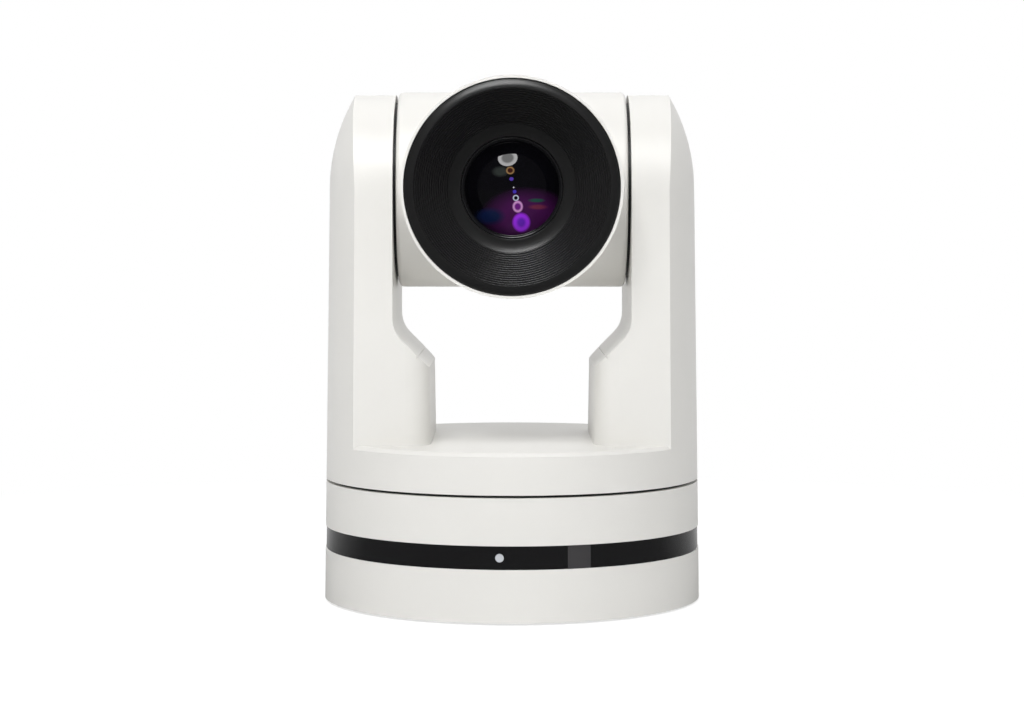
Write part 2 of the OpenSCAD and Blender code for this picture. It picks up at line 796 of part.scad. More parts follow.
// Places a cylinder along Y at a connector's centre, from depth y0 to y1.
module port_rod(i, h, r, y0, y1)
    translate([port_x(i), y1, board_top + h / 2]) rotate([90, 0, 0]) cylinder(r = r, h = y1 - y0);

module rear_panel()
    color(dark)
    difference() {
        span([-panel_hw, panel_back, floor_top], [panel_hw, bay_y, bay_top]);
        port_box(0, dc_w, dc_h, port_fit);
        port_box(1, audio_w, audio_h, port_fit);
        port_box(2, serial_w, serial_w, port_fit);
        port_rod(3, sdi_w, sdi_r + port_fit, panel_back - 1, bay_y + 1);
        port_box(4, lan_w, lan_h, port_fit);
        port_box(5, usb_w, usb_h, port_fit);
        port_box(6, hdmi_w, hdmi_h, port_fit);
    }

module dc_jack()
    color(black) {
        difference() {
            port_box(0, dc_w, dc_h, 0);
            port_rod(0, dc_h, dc_bore, port_back + 3, port_face + 1);
        }
        port_rod(0, dc_h, dc_pin, port_back + 2, port_face - 1);
    }

module audio_jack()
    color(black)
    difference() {
        port_box(1, audio_w, audio_h, 0);
        port_rod(1, audio_h, audio_bore, port_back + 2, port_face + 1);
    }

module serial_port()
    color(black) {
        difference() {
            port_box(2, serial_w, serial_w, 0);
            port_rod(2, serial_w, serial_bore, port_back + 6, port_face + 1);
        }
        port_rod(2, serial_w, serial_bore - 1, port_back + 5, port_face - 1.5);
    }

module sdi_port()
    color(steel) {
        span([port_x(3) - sdi_w / 2, port_back, board_top],
             [port_x(3) + sdi_w / 2, panel_back - port_fit, board_top + sdi_w]);
        difference() {
            port_rod(3, sdi_w, sdi_r, panel_back - 1, bay_y + sdi_len);
            port_rod(3, sdi_w, sdi_r - sdi_wall, bay_y + 2, bay_y + sdi_len + 1);
        }
        port_rod(3, sdi_w, sdi_wall, bay_y + 1, bay_y + sdi_len - 3);
        for (s = sides)
            translate([port_x(3), bay_y + sdi_len - 4, board_top + sdi_w / 2]) rotate([0, 90 * s, 0])
                translate([0, 0, sdi_r - sdi_wall / 2])
                    cylinder(r = sdi_wall, h = sdi_lug - sdi_r + sdi_wall / 2);
    }

module lan_port()
    color(steel)
    difference() {
        port_box(4, lan_w, lan_h, 0);
        span([port_x(4) - lan_open_w / 2, port_back + 3, board_top + 3],
             [port_x(4) + lan_open_w / 2, port_face + 1, board_top + 3 + lan_open_h]);
        span([port_x(4) - lan_open_w / 4, port_back + 3, board_top + 1.2],
             [port_x(4) + lan_open_w / 4, port_face + 1, board_top + 3.5]);
    }

module usb_port()
    color(steel) {
        difference() {
            port_box(5, usb_w, usb_h, 0);
            span([port_x(5) - usb_w / 2 + usb_wall, port_back + 4, board_top + usb_wall],
                 [port_x(5) + usb_w / 2 - usb_wall, port_face + 1, board_top + usb_h - usb_wall]);
        }
        span([port_x(5) - usb_w / 4, port_back + 3, board_top + usb_h / 2 - usb_wall],
             [port_x(5) + usb_w / 4, port_face - 1, board_top + usb_h / 2 + usb_wall]);
    }

module hdmi_port()
    color(steel) {
        difference() {
            port_box(6, hdmi_w, hdmi_h, 0);
            span([port_x(6) - hdmi_w / 2 + hdmi_wall, port_back + 3, board_top + hdmi_wall],
                 [port_x(6) + hdmi_w / 2 - hdmi_wall, port_face + 1, board_top + hdmi_h - hdmi_wall]);
        }
        span([port_x(6) - hdmi_w / 4, port_back + 2, board_top + hdmi_h / 2 - hdmi_wall],
             [port_x(6) + hdmi_w / 4, port_face - 1, board_top + hdmi_h / 2 + hdmi_wall]);
    }

module base_screws()
    color(steel)
    at_posts() {
        rod(screw_head_r, foot_show + screw_gap, counter_top);
        rod(screw_r, counter_top - 0.2, chassis_top + screw_bite);
    }

module base_frame()
    color(steel)
    difference() {
        union() {
            rod(chassis_r, chassis_z, chassis_top);
            rod(pan_brg_r + boss_wall, boss_bottom, chassis_top);
        }
        span([-base_r, boards_back, chassis_z - 1], [base_r, base_r, chassis_top + 1]);
        at_posts() rod(screw_r + screw_gap, chassis_z - 1, chassis_top + 1);
        rod(pan_brg_r, boss_bottom - 1, boss_bottom + pan_brg_w);
        rod(pan_brg_r, chassis_top - pan_brg_w, chassis_top + 1);
        rod(pan_brg_r - 1.5, boss_bottom, chassis_top);
        translate([0, -pan_centres, 0]) rod(motor_pilot_r, chassis_z - 1, chassis_top + 1);
    }

module pan_bearings()
    color(steel)
    for (z = [boss_bottom, chassis_top - pan_brg_w])
        tube(pan_brg_r, spindle_r + run_gap, z, z + pan_brg_w);

module pan_motor()
    color(dark)
    difference() {
        union() {
            span([-pan_motor_w / 2, -pan_centres - pan_motor_w / 2, chassis_z - pan_motor_t],
                 [pan_motor_w / 2, pan_motor_w / 2 - pan_centres, chassis_z]);
            translate([0, -pan_centres, 0]) rod(motor_pilot_r, chassis_z - 1, chassis_top);
        }
        translate([0, -pan_centres, 0]) rod(pinion_bore, chassis_z - pan_motor_t + 2, chassis_top + 1);
    }

// Motor shaft with its belt pulley, in one piece.
module pan_pinion()
    color(steel)
    translate([0, -pan_centres, 0]) {
        pulley(pinion_r, 0, pan_pulley_z);
        rod(motor_shaft_r, chassis_z - pan_motor_t + 2 + end_gap, pan_pulley_z + 1);
    }

module pan_belt()
    color(black)
    translate([0, 0, pan_pulley_z + pulley_flange_t + belt_side])
        belt(pan_pulley_r, pinion_r, pan_centres);

// ---------- turning yoke ----------

// Body of revolution of the yoke, its top a ball about the tilt axis, set in by t.
module dome(z0, t) {
    drafted_disc(z0, dome_z, t);
    translate([0, 0, dome_z]) sphere(r = wall_r(dome_z) - t);
}

// Side outline of an arm, in YZ, set in by t, run along X from x0 to x1.
module side_prism(z0, t, x0, x1)
    translate([x0, 0, 0]) rotate([90, 0, 90])
        linear_extrude(x1 - x0) {
            polygon([
                [t - side_hy(z0), z0], [side_hy(z0) - t, z0],
                [arm_hy - t, arm_arc_z], [t - arm_hy, arm_arc_z]
            ]);
            translate([0, arm_arc_z]) circle(r = arm_hy - t);
        }

// Front outline of the right arm, in XZ, inner faces set back by t.
module front_outline(z0, t) {
    xa = arm_in + t;
    d = diag - t * sqrt(2);
    zb = xa + d;
    xc = (foot_in + t + (d - foot_mid_z) * slope) / (1 - slope);
    zc = xc + d;
    r = bend_r + t;
    k = r * tan(22.5);
    polygon([
        [xc - (zc - z0) * slope, z0], [base_r + 5, z0], [base_r + 5, arms_top + arm_top],
        [xa, arms_top + arm_top], [xa, zb], [xc, zc]
    ]);
    difference() {
        polygon([[xa + eps, zb - 1], [xa + eps, zb + k], [xa, zb + k], [xa - k / sqrt(2), zb - k / sqrt(2)],
            [xa - k / sqrt(2) + 1, zb - k / sqrt(2)]]);
        translate([xa - r, zb + k]) circle(r = r);
    }
}

module front_prism(z0, t)
    translate([0, base_r, 0]) rotate([90, 0, 0]) linear_extrude(2 * base_r) front_outline(z0, t);

// Corner blocks that round the feet's inner upright edges.
module foot_corners(z0, t)
    for (s = sides)
        difference() {
            span([foot_in - 5, s > 0 ? foot_cy : -base_r, z0 - 1],
                 [foot_in + foot_round, s > 0 ? base_r : -foot_cy, bend_z]);
            translate([foot_in + foot_round, s * foot_cy, z0 - 2])
                cylinder(r1 = foot_round - t + (foot_mid_z - z0 + 2) * slope,
                    r2 = foot_round - t + (foot_mid_z - bend_z - 1) * slope, h = bend_z + 3 - z0);
        }

// Right arm before the round outer wall cuts it.
module arm_block(z0, t)
    difference() {
        intersection() {
            side_prism(z0, t, 0, base_r);
            front_prism(z0, t);
        }
        foot_corners(z0, t);
    }

// Everything above the line on the diagonal where the inner cover ends.
module above_seam(shift)
    translate([0, base_r, 0]) rotate([90, 0, 0])
        linear_extrude(2 * base_r)
            polygon([
                [-1, seam_sum + shift + 1], [seam_sum + shift - deck_lower, deck_lower],
                [base_r + 5, deck_lower], [base_r + 5, arms_top + arm_top], [-1, arms_top + arm_top]
            ]);

// Layer along the right arm's inner face from depth 0 to depth t, inset at its edges.
module cover_layer(t, inset, shift)
    intersection() {
        side_prism(deck_z, inset, 0, base_r);
        translate([0, base_r, 0]) rotate([90, 0, 0])
            linear_extrude(2 * base_r)
                difference() {
                    front_outline(deck_z, 0);
                    front_outline(deck_z - 1, t);
                }
        above_seam(shift);
    }

// Round slab under the deck, its rim chamfered.
module deck_slab() {
    rim = wall_r(deck_z) - deck_chamfer;
    out = base_r + 5 - rim;
    rotate_extrude()
        polygon([[0, yoke_z], [base_r + 5, yoke_z], [base_r + 5, deck_z - out], [rim, deck_z], [0, deck_z]]);
}

module yoke_outer()
    intersection() {
        dome(yoke_z, 0);
        union() {
            deck_slab();
            both_sides() arm_block(deck_lower, 0);
        }
    }

module yoke_hollow()
    intersection() {
        dome(yoke_z - 2, wall);
        union() {
            rod(base_r + 5, yoke_z - 1, deck_lower);
            both_sides() {
                arm_block(deck_lower - 1, wall);
                intersection() {
                    side_prism(deck_z, wall, 0, base_r);
                    front_prism(deck_z, -1);
                    above_seam(ledge);
                }
            }
        }
    }

// Opening in the right arm's inner face that the cover fills.
module cover_opening()
    intersection() {
        side_prism(deck_z, lip, 0, base_r);
        translate([0, base_r, 0]) rotate([90, 0, 0])
            linear_extrude(2 * base_r)
                difference() {
                    front_outline(deck_z, -1);
                    front_outline(deck_z - 1, cover_t);
                }
        above_seam(0);
    }

module yoke_shell()
    color(white)
    difference() {
        union() {
            difference() {
                yoke_outer();
                yoke_hollow();
                both_sides() cover_opening();
            }
            at_shell_screws() rod(shell_post_r, frame_top, deck_lower + 0.5);
        }
        at_shell_screws() rod(screw_r + run_gap, frame_top - 1, deck_lower - 1);
    }

module arm_cover()
    difference() {
        cover_layer(cover_t, lip + cover_fit, cover_fit);
        xrod(hub_r + hub_gap, arm_in - 2, arm_in + cover_t + 2);
    }

module arm_cover_right()
    color(white)
    arm_cover();

module arm_cover_left()
    color(white)
    mirror([1, 0, 0]) arm_cover();

// Dark tray with the lip that overlaps the base inside the seam.
module yoke_tray()
    color(black)
    difference() {
        union() {
            rod(wall_r(yoke_z) - wall - cover_fit - tray_t * slope, yoke_z, frame_z);
            tube(wall_r(base_h) - wall - lip_inset, wall_r(base_h) - wall - lip_inset - lip_wall,
                deck_top + lip_gap, yoke_z + 0.5);
        }
        rod(flange_r + cover_fit, yoke_z - 1, frame_z + 1);
        at_shell_screws() rod(screw_r + screw_gap, yoke_z - 1, frame_z + 1);
        at_shell_screws() rod(screw_head_r + screw_gap, yoke_z - 1, yoke_z + screw_head_h);
    }

module yoke_frame()
    color(steel)
    difference() {
        union() {
            rod(frame_r, frame_z, frame_top);
            both_sides() {
                span([upright_x, -upright_hy, frame_z],
                     [upright_x + frame_t, upright_hy, tilt_z + upright_top]);
                xrod(tilt_brg_r + collar_wall, upright_x, tilt_brg_x2);
            }
        }
        rod(frame_bore, frame_z - 1, frame_top + 1);
        at_yoke_screws() rod(screw_r + screw_gap, frame_z - 1, frame_top + 1);
        at_shell_screws() rod(screw_r + screw_gap, frame_z - 1, frame_top + 1);
        both_sides()
            xrod(tilt_brg_r, upright_x - 1, tilt_brg_x2 + 1);
        translate([0, 0, -tilt_centres])
            xrod(motor_pilot_r, -upright_x - frame_t - 1, 1 - upright_x);
    }

module pan_spindle()
    color(steel)
    difference() {
        union() {
            rod(spindle_r, spindle_bottom, frame_z);
            rod(spindle_r + shoulder, chassis_top + end_gap, pan_pulley_z);
            rod(flange_r, yoke_z, frame_z);
        }
        rod(spindle_bore, spindle_bottom - 1, frame_z + 1);
        tube(spindle_r + 1, spindle_r - 0.8, boss_bottom - end_gap - clip_t, boss_bottom - end_gap);
        at_yoke_screws() rod(screw_r + run_gap, yoke_z + 0.4, frame_z + 1);
    }

module spindle_clip()
    color(steel)
    tube(spindle_r + shoulder, spindle_r - 0.8, boss_bottom - end_gap - clip_t, boss_bottom - end_gap);

module pan_pulley()
    color(dark)
    pulley(pan_pulley_r, spindle_r, pan_pulley_z);

module flange_screws()
    color(steel)
    at_yoke_screws() {
        rod(screw_r, yoke_z + 0.6, frame_top + 0.2);
        rod(screw_head_r, frame_top, frame_top + screw_head_h);
    }

module shell_screws()
    color(steel)
    at_shell_screws() {
        rod(screw_head_r, yoke_z, yoke_z + screw_head_h);
        rod(screw_r, yoke_z + screw_head_h - 0.2, deck_lower - 1.5);
    }

module tilt_bearings()
    color(steel)
    both_sides()
        xtube(tilt_brg_r, tilt_shaft_r + run_gap, upright_x, tilt_brg_x2);

module tilt_motor()
    color(dark)
    difference() {
        union() {
            span([-upright_x, -tilt_motor_w / 2, tilt_motor_z - tilt_motor_w / 2],
                 [tilt_motor_t - upright_x, tilt_motor_w / 2, tilt_motor_z + tilt_motor_w / 2]);
            translate([0, 0, -tilt_centres]) xrod(motor_pilot_r, -upright_x - frame_t, 1 - upright_x);
        }
        translate([0, 0, -tilt_centres])
            xrod(pinion_bore, -upright_x - frame_t - 1, tilt_motor_t - upright_x - 2);
    }

// Lays something drawn about Z along -X at the tilt axis, its foot at the tilt pulley's inner side.
module on_tilt_plane()
    translate([-tilt_pulley_x, 0, tilt_z]) rotate([0, -90, 0]) rotate(-90) children();

module tilt_pinion()
    color(steel) {
        translate([0, 0, -tilt_centres]) on_tilt_plane() pulley(pinion_r, 0, 0);
        translate([0, 0, -tilt_centres])
            xrod(motor_shaft_r, -tilt_pulley_x - 1, tilt_motor_t - upright_x - 2 - end_gap);
    }

module tilt_belt()
    color(black)
    on_tilt_plane()
        translate([0, 0, pulley_flange_t + belt_side])
            belt(tilt_pulley_r, pinion_r, tilt_centres);

// ---------- tilting head ----------

// Drum along X with rounded end edges.
module drum(r, hw, e)
    translate([0, 0, tilt_z]) rotate([0, 90, 0])
        rotate_extrude() {
            polygon([[0, -hw], [r - e, -hw], [r - e, e - hw], [r, e - hw], [r, hw - e],
                [r - e, hw - e], [r - e, hw], [0, hw]]);
            intersection() {
                union() {
                    translate([r - e, hw - e]) circle(r = e);
                    translate([r - e, e - hw]) circle(r = e);
                }
                translate([r - e - eps, -hw]) square([e + 1, 2 * hw]);
            }
        }

// Revolves a profile of (radius, Y) points about the lens axis.
module about_lens(points)
    translate([0, 0, tilt_z]) rotate([-90, 0, 0]) rotate_extrude() polygon(points);

module barrel(t, front)
    about_lens([
        [0, front], [barrel_r - t, front], [barrel_r - t, -barrel_back],
        [drum_r - 1 - t, barrel_taper - barrel_back], [drum_r - 1 - t, 0], [0, 0]
    ]);

module head_outer() {
    drum(drum_r, drum_hw, drum_edge);
    barrel(0, -barrel_y);
}

module head_inner() {
    drum(drum_r - head_wall, drum_in, drum_edge / 2);
    barrel(head_wall, -barrel_y - 1);
}

module at_head_screws()
    for (x = sides) for (z = sides)
        translate([x * head_screw_x, 0, z * head_screw_z]) children();

module head_shell()
    color(white)
    difference() {
        union() {
            difference() {
                head_outer();
                head_inner();
                yrod(bezel_r + bezel_fit, -barrel_y - 1, seat_y);
            }
            intersection() {
                at_head_screws() yrod(head_post_r, rear_seam - head_post_len, rear_seam);
                head_outer();
            }
            for (x = sides) for (z = sides)
                span([x > 0 ? head_screw_x : -drum_in - 0.5, rear_seam - head_post_len,
                      tilt_z + z * head_screw_z - head_wall / 2],
                     [x > 0 ? drum_in + 0.5 : -head_screw_x, rear_seam,
                      tilt_z + z * head_screw_z + head_wall / 2]);
        }
        span([-base_r, rear_seam, tilt_z - base_r], [base_r, base_r, tilt_z + base_r]);
        xrod(tilt_shaft_r + run_gap, -base_r, base_r);
        at_head_screws() yrod(head_screw_r + run_gap, rear_seam - head_post_len + 1, rear_seam + 1);
    }

module head_rear()
    color(white)
    difference() {
        union() {
            difference() {
                drum(drum_r, drum_hw, drum_edge);
                drum(drum_r - head_wall, drum_in, drum_edge / 2);
            }
            intersection() {
                at_head_screws() yrod(head_post_r, rear_seam, drum_r);
                drum(drum_r, drum_hw, drum_edge);
            }
        }
        span([-base_r, -base_r, tilt_z - base_r], [base_r, rear_seam + rear_gap, tilt_z + base_r]);
        at_head_screws() yrod(head_screw_r + screw_gap, rear_seam, drum_r + 1);
        at_head_screws() yrod(head_screw_head + screw_gap, head_counter_y, drum_r + 1);
    }

module head_screws()
    color(steel)
    at_head_screws() {
        yrod(head_screw_head, head_counter_y, head_counter_y + screw_head_h);
        yrod(head_screw_r, rear_seam - head_post_len + 1.5, head_counter_y + 0.2);
    }

module hub_discs()
    color(black)
    both_sides()
        xtube(hub_r, tilt_shaft_r + run_gap, drum_hw, hub_x);

// Right shaft out to x1; the left one is its mirror image with a longer end.
module tilt_shaft(x1)
    difference() {
        union() {
            xrod(shaft_flange_r, shaft_flange_x, drum_in);
            xrod(tilt_shaft_r, shaft_flange_x, x1);
            xrod(tilt_shaft_r + 1.5, hub_x, upright_x - end_gap);
        }
        xrod(tilt_shaft_bore, shaft_flange_x - 1, x1 + 1);
    }

module tilt_shaft_right()
    color(steel)
    tilt_shaft(tilt_brg_x2 + tilt_pulley_gap);

module tilt_shaft_left()
    color(steel)
    mirror([1, 0, 0]) tilt_shaft(tilt_pulley_x + pulley_h + 0.5);

module tilt_pulley()
    color(dark)
    on_tilt_plane() pulley(tilt_pulley_r, tilt_shaft_r, 0);

module head_frame()
    color(steel) {
        both_sides()
            difference() {
                span([bracket_x0, -bracket_hy, tilt_z - block_r - bracket_t],
                     [shaft_flange_x, bracket_hy, tilt_z + shaft_flange_r]);
                xrod(tilt_shaft_bore, bracket_x0 - 1, shaft_flange_x + 1);
            }
        span([-shaft_flange_x, -bracket_hy, tilt_z - block_r - bracket_t],
             [shaft_flange_x, bracket_back, tilt_z - block_r]);
    }

module lens_bezel()
    color(black)
    about_lens(concat(
        [[bezel_bore, smooth_y], [bezel_bore, bezel_back], [ridge_r1, bezel_back]],
        [[ridge_r1 + (bezel_back - seat_y) * ridge_w / ridge_d, seat_y]],
        [[bezel_r, seat_y], [bezel_r, bezel_y + ring_drop], [ridge_r0 + ring_w / 2, bezel_y + ring_drop / 4],
            [ridge_r0, bezel_y]],
        [for (i = [0 : 2 * ridge_n - 1])
            [ridge_r0 - floor((i + 1) / 2) * ridge_w, ridge_y0 + floor(i / 2) * ridge_d]],
        [[ridge_r1, smooth_y]]
    ));

module lens_ring()
    color(black)
    difference() {
        ytube(lens_ring_r, glass_r - 1, lens_ring_y, lens_ring_back);
        yrod(glass_r + lens_fit, lens_ring_y - 1, glass_back);
    }

module front_glass()
    color([0.2, 0.2, 0.3])
    intersection() {
        yrod(glass_r, glass_y - glass_r, glass_back);
        translate([0, glass_y + sqrt(glass_curve * glass_curve - glass_r * glass_r), tilt_z])
            sphere(r = glass_curve);
    }

module lens_block()
    color(dark)
    difference() {
        union() {
            yrod(block_r, bezel_back, rear_bulk_back);
            span([-module_w / 2, rear_bulk_y, tilt_z - module_w / 2],
                 [module_w / 2, rear_bulk_back, tilt_z + module_w / 2]);
        }
        yrod(block_in, bezel_back - 1, lens_ring_back);
        yrod(fixed_r, bezel_back, rear_bulk_y);
        yrod(block_in, lens_ring_back + bulk_t, -bulk_y);
        yrod(block_in, bulk_back, rear_bulk_y);
        yrod(sensor_chip / 2 + 1, rear_bulk_y - 1, rear_bulk_back + 1);
        for (s = sides) translate([s * rod_off, 0, 0]) yrod(rod_r + lens_fit, -bulk_y, rear_bulk_back + 1);
    }

module guide_rods()
    color(steel)
    for (s = sides) translate([s * rod_off, 0, 0]) yrod(rod_r, -bulk_y, rear_bulk_back);

module fixed_lens()
    color([0.25, 0.22, 0.35])
    intersection() {
        yrod(fixed_r - lens_fit, -bulk_y - fixed_t, bulk_back);
        translate([0, glass_curve - bulk_y - fixed_t, tilt_z]) sphere(r = glass_curve);
    }

// Ring with two ears that slides on the guide rods, front face at y0.
module carriage(y0)
    difference() {
        union() {
            yrod(group_r + group_wall, y0, y0 + group_len);
            span([-rod_off - rod_r - 1, y0, tilt_z - group_wall - rod_r],
                 [rod_off + rod_r + 1, y0 + group_len, tilt_z + group_wall + rod_r]);
        }
        yrod(group_r, y0 - 1, y0 + group_len + 1);
        for (s = sides) translate([s * rod_off, 0, 0]) yrod(rod_r + run_gap, y0 - 1, y0 + group_len + 1);
    }

module group_lens(y0)
    intersection() {
        yrod(group_r, y0, y0 + group_t);
        translate([0, y0 + glass_curve - 0.5, tilt_z]) sphere(r = glass_curve);
    }

module zoom_carriage()
    color(dark)
    carriage(zoom_y);

module zoom_lens()
    color([0.25, 0.22, 0.35])
    group_lens(zoom_y + 1);

module focus_carriage()
    color(dark)
    carriage(focus_y);

module focus_lens()
    color([0.25, 0.22, 0.35])
    group_lens(focus_y + 1);

module sensor_board()
    color(green) {
        span([-sensor_chip / 2, chip_y, tilt_z - sensor_chip / 2],
             [sensor_chip / 2, sensor_y, tilt_z + sensor_chip / 2]);
        span([-sensor_w / 2, sensor_y, tilt_z - sensor_w / 2],
             [sensor_w / 2, sensor_y + board_t, tilt_z + sensor_w / 2]);
    }

module camera_module()
    color(dark)
    difference() {
        span([-module_w / 2, rear_bulk_back, tilt_z - module_w / 2],
             [module_w / 2, rear_bulk_back + module_d, tilt_z + module_w / 2]);
        span([module_wall - module_w / 2, rear_bulk_back - 1, tilt_z - module_w / 2 + module_wall],
             [module_w / 2 - module_wall, rear_bulk_back + module_d - module_wall,
              tilt_z + module_w / 2 - module_wall]);
    }

// ---------- nodes ----------

base_tray();
tripod_insert();
base_feet();
base_housing();
front_band();
status_led();
ir_window();
ir_receiver();
main_board();
rear_panel();
dc_jack();
audio_jack();
serial_port();
sdi_port();
lan_port();
usb_port();
hdmi_port();
base_screws();
base_frame();
pan_bearings();
pan_motor();
pan_pinion();
pan_belt();
yoke_shell();
arm_cover_left();
arm_cover_right();
yoke_tray();
yoke_frame();
pan_spindle();
spindle_clip();
pan_pulley();
flange_screws();
shell_screws();
tilt_bearings();
tilt_motor();
tilt_pinion();
tilt_belt();
head_shell();
head_rear();
head_screws();
hub_discs();
tilt_shaft_left();
tilt_shaft_right();
tilt_pulley();
head_frame();
lens_bezel();
lens_ring();
front_glass();
lens_block();
guide_rods();
fixed_lens();
zoom_carriage();
zoom_lens();
focus_carriage();
focus_lens();
sensor_board();
camera_module();
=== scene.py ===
"""Looks of the pan-tilt-zoom camera: materials, lens dressing, small parts, floor, light and view."""
import json
import math
import bmesh
import bpy
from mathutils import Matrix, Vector


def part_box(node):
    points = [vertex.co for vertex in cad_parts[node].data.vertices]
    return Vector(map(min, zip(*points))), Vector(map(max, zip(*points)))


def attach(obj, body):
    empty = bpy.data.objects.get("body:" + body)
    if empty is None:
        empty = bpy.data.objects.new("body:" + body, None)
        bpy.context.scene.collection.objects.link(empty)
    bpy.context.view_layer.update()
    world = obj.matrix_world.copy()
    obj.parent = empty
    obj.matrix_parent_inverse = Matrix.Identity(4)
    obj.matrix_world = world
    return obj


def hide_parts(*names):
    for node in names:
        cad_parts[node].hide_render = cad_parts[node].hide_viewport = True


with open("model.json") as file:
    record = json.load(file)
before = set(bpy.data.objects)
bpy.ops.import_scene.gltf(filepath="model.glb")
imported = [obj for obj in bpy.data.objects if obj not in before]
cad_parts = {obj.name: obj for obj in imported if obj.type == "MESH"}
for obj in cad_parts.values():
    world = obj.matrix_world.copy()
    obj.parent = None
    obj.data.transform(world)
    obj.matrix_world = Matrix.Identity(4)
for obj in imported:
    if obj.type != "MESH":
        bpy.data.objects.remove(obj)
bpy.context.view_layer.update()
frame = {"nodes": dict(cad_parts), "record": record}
MM = 0.001

# Sizes in mm about the lens axis, at the tilt axis's height. Y grows from the front to the back.
TILT_Z = 156.5
BEZEL_R, BEZEL_Y, SEAT_Y = 39.1, -58.6, -54.5
RIM_R = 35.62
RIDGE_R0, RIDGE_Y0, RIDGES, RIDGE_W, RIDGE_D = 35.4, -57.8, 15, 0.78, 1.1
BORE, SMOOTH_Y, BEZEL_BACK = 18.8, -41.3, -38.9
GLASS_R, GLASS_Y, GLASS_BACK, GLASS_CURVE = 17.3, -40.1, -37.1, 27.0
RING_OUT, RING_IN, RING_Y, RING_BACK = 18.75, 17.35, -40.45, -34.8

# Small parts at the back, in mm.
CONTACTS, CONTACT_PITCH, CONTACT_W = 8, 1.02, 0.4
CONTACT_FRONT, CONTACT_BACK, CONTACT_TOP, CONTACT_BOTTOM = 1.5, 11.0, 2.4, 3.1
LINK_LIGHT_X, LINK_LIGHT_W, LINK_LIGHT_TOP, LINK_LIGHT_BOTTOM = 5.4, 1.8, 0.6, 2.0
SCREW_HEAD_R, CROSS_LONG, CROSS_THIN, CROSS_DEPTH = 2.4, 2.7, 0.56, 0.4

# The studio: places and sizes in metres, power in watts.
# The floor shows the shadow up to WHITE_FROM from the middle and is plain white from WHITE_AT.
FLOOR_SIZE = 6.0
WHITE_FROM, WHITE_AT = 0.16, 0.45
LIGHTS_AIM = (0, 0, 0.11)
KEY_LAMP = {"place": (-0.12, -0.75, 1.00), "size": 0.55, "power": 9.6}
TOP_LAMP = {"place": (0.05, 0.35, 1.15), "size": 0.90, "power": 1.9}
SOFT_LAMP_SIZE = 0.70
SOFT_LAMPS = [
    ("left", (-0.95, -0.80, 0.45), 2.2),
    ("right", (0.95, -0.80, 0.45), 2.0),
    ("back", (0.20, 1.20, 0.60), 3.4),
]
CAMERA_PLACE, CAMERA_AIM = Vector((0, -0.9295, 0.1411)), Vector((0, 0, 0.0939))
LENS_MM, SENSOR_MM = 85.1, 36.0

# Waves per metre of the slow colour drift that each finish has.
TONE_SCALE = 25.0


# ---------- node helpers ----------

def new_material(name):
    """A node material, with its tree and its Principled shader."""
    mat = bpy.data.materials.new(name)
    mat.use_nodes = True
    tree = mat.node_tree
    return mat, tree, tree.nodes["Principled BSDF"]


def add(tree, kind, **values):
    """A node of a kind, with its properties and its inputs set by name."""
    node = tree.nodes.new(kind)
    for key, value in values.items():
        if hasattr(node, key):
            setattr(node, key, value)
        else:
            node.inputs[key.replace("_", " ")].default_value = value
    return node


def object_noise(tree, scale, detail=2.0, rough=0.5):
    """Noise that is fixed to the object; scale is in waves per metre."""
    coords = add(tree, "ShaderNodeTexCoord")
    noise = add(tree, "ShaderNodeTexNoise", Scale=scale, Detail=detail, Roughness=rough)
    tree.links.new(coords.outputs["Object"], noise.inputs["Vector"])
    return noise


def remap(tree, socket, low, high, from_low=0.3, from_high=0.7):
    """A value stretched from one range to another and kept in it; noise lies mostly in 0.3 to 0.7."""
    node = add(tree, "ShaderNodeMapRange", clamp=True)
    node.inputs["From Min"].default_value = from_low
    node.inputs["From Max"].default_value = from_high
    node.inputs["To Min"].default_value = low
    node.inputs["To Max"].default_value = high
    tree.links.new(socket, node.inputs["Value"])
    return node.outputs["Result"]


def tinted(tree, socket, dark, light):
    """A colour that drifts between two shades with a value."""
    mix = add(tree, "ShaderNodeMix", data_type="RGBA")
    tree.links.new(socket, mix.inputs["Factor"])
    mix.inputs["A"].default_value = (*dark, 1)
    mix.inputs["B"].default_value = (*light, 1)
    return mix.outputs["Result"]


def layered(tree, below, above, mask):
    """One colour over another where the mask is 1; the upper one is a node's output or a plain shade."""
    mix = add(tree, "ShaderNodeMix", data_type="RGBA")
    tree.links.new(mask, mix.inputs["Factor"])
    tree.links.new(below, mix.inputs["A"])
    if isinstance(above, tuple):
        mix.inputs["B"].default_value = (*above, 1)
    else:
        tree.links.new(above, mix.inputs["B"])
    return mix.outputs["Result"]


def bump(tree, shader, socket, strength, depth):
    """Fine relief from a value; depth is in metres."""
    node = add(tree, "ShaderNodeBump", Strength=strength, Distance=depth)
    tree.links.new(socket, node.inputs["Height"])
    tree.links.new(node.outputs["Normal"], shader.inputs["Normal"])


def finish(name, shade, spread, rough, rough_spread, grain_scale, grain, grain_depth,
           metallic=0.0, coat=0.0):
    """A moulded or machined surface: slow colour drift, uneven gloss and a fine grain."""
    mat, tree, shader = new_material(name)
    slow = object_noise(tree, TONE_SCALE, 3.0)
    fine = object_noise(tree, grain_scale, 2.0, 0.6)
    drift = remap(tree, slow.outputs["Fac"], 0.0, 1.0)
    light = [min(1.0, part * (1 + spread)) for part in shade]
    dark = [part * (1 - spread) for part in shade]
    gloss = remap(tree, fine.outputs["Fac"], rough - rough_spread, rough + rough_spread)
    tree.links.new(tinted(tree, drift, dark, light), shader.inputs["Base Color"])
    tree.links.new(gloss, shader.inputs["Roughness"])
    shader.inputs["Metallic"].default_value = metallic
    shader.inputs["Coat Weight"].default_value = coat
    bump(tree, shader, fine.outputs["Fac"], grain, grain_depth)
    return mat


# ---------- materials ----------

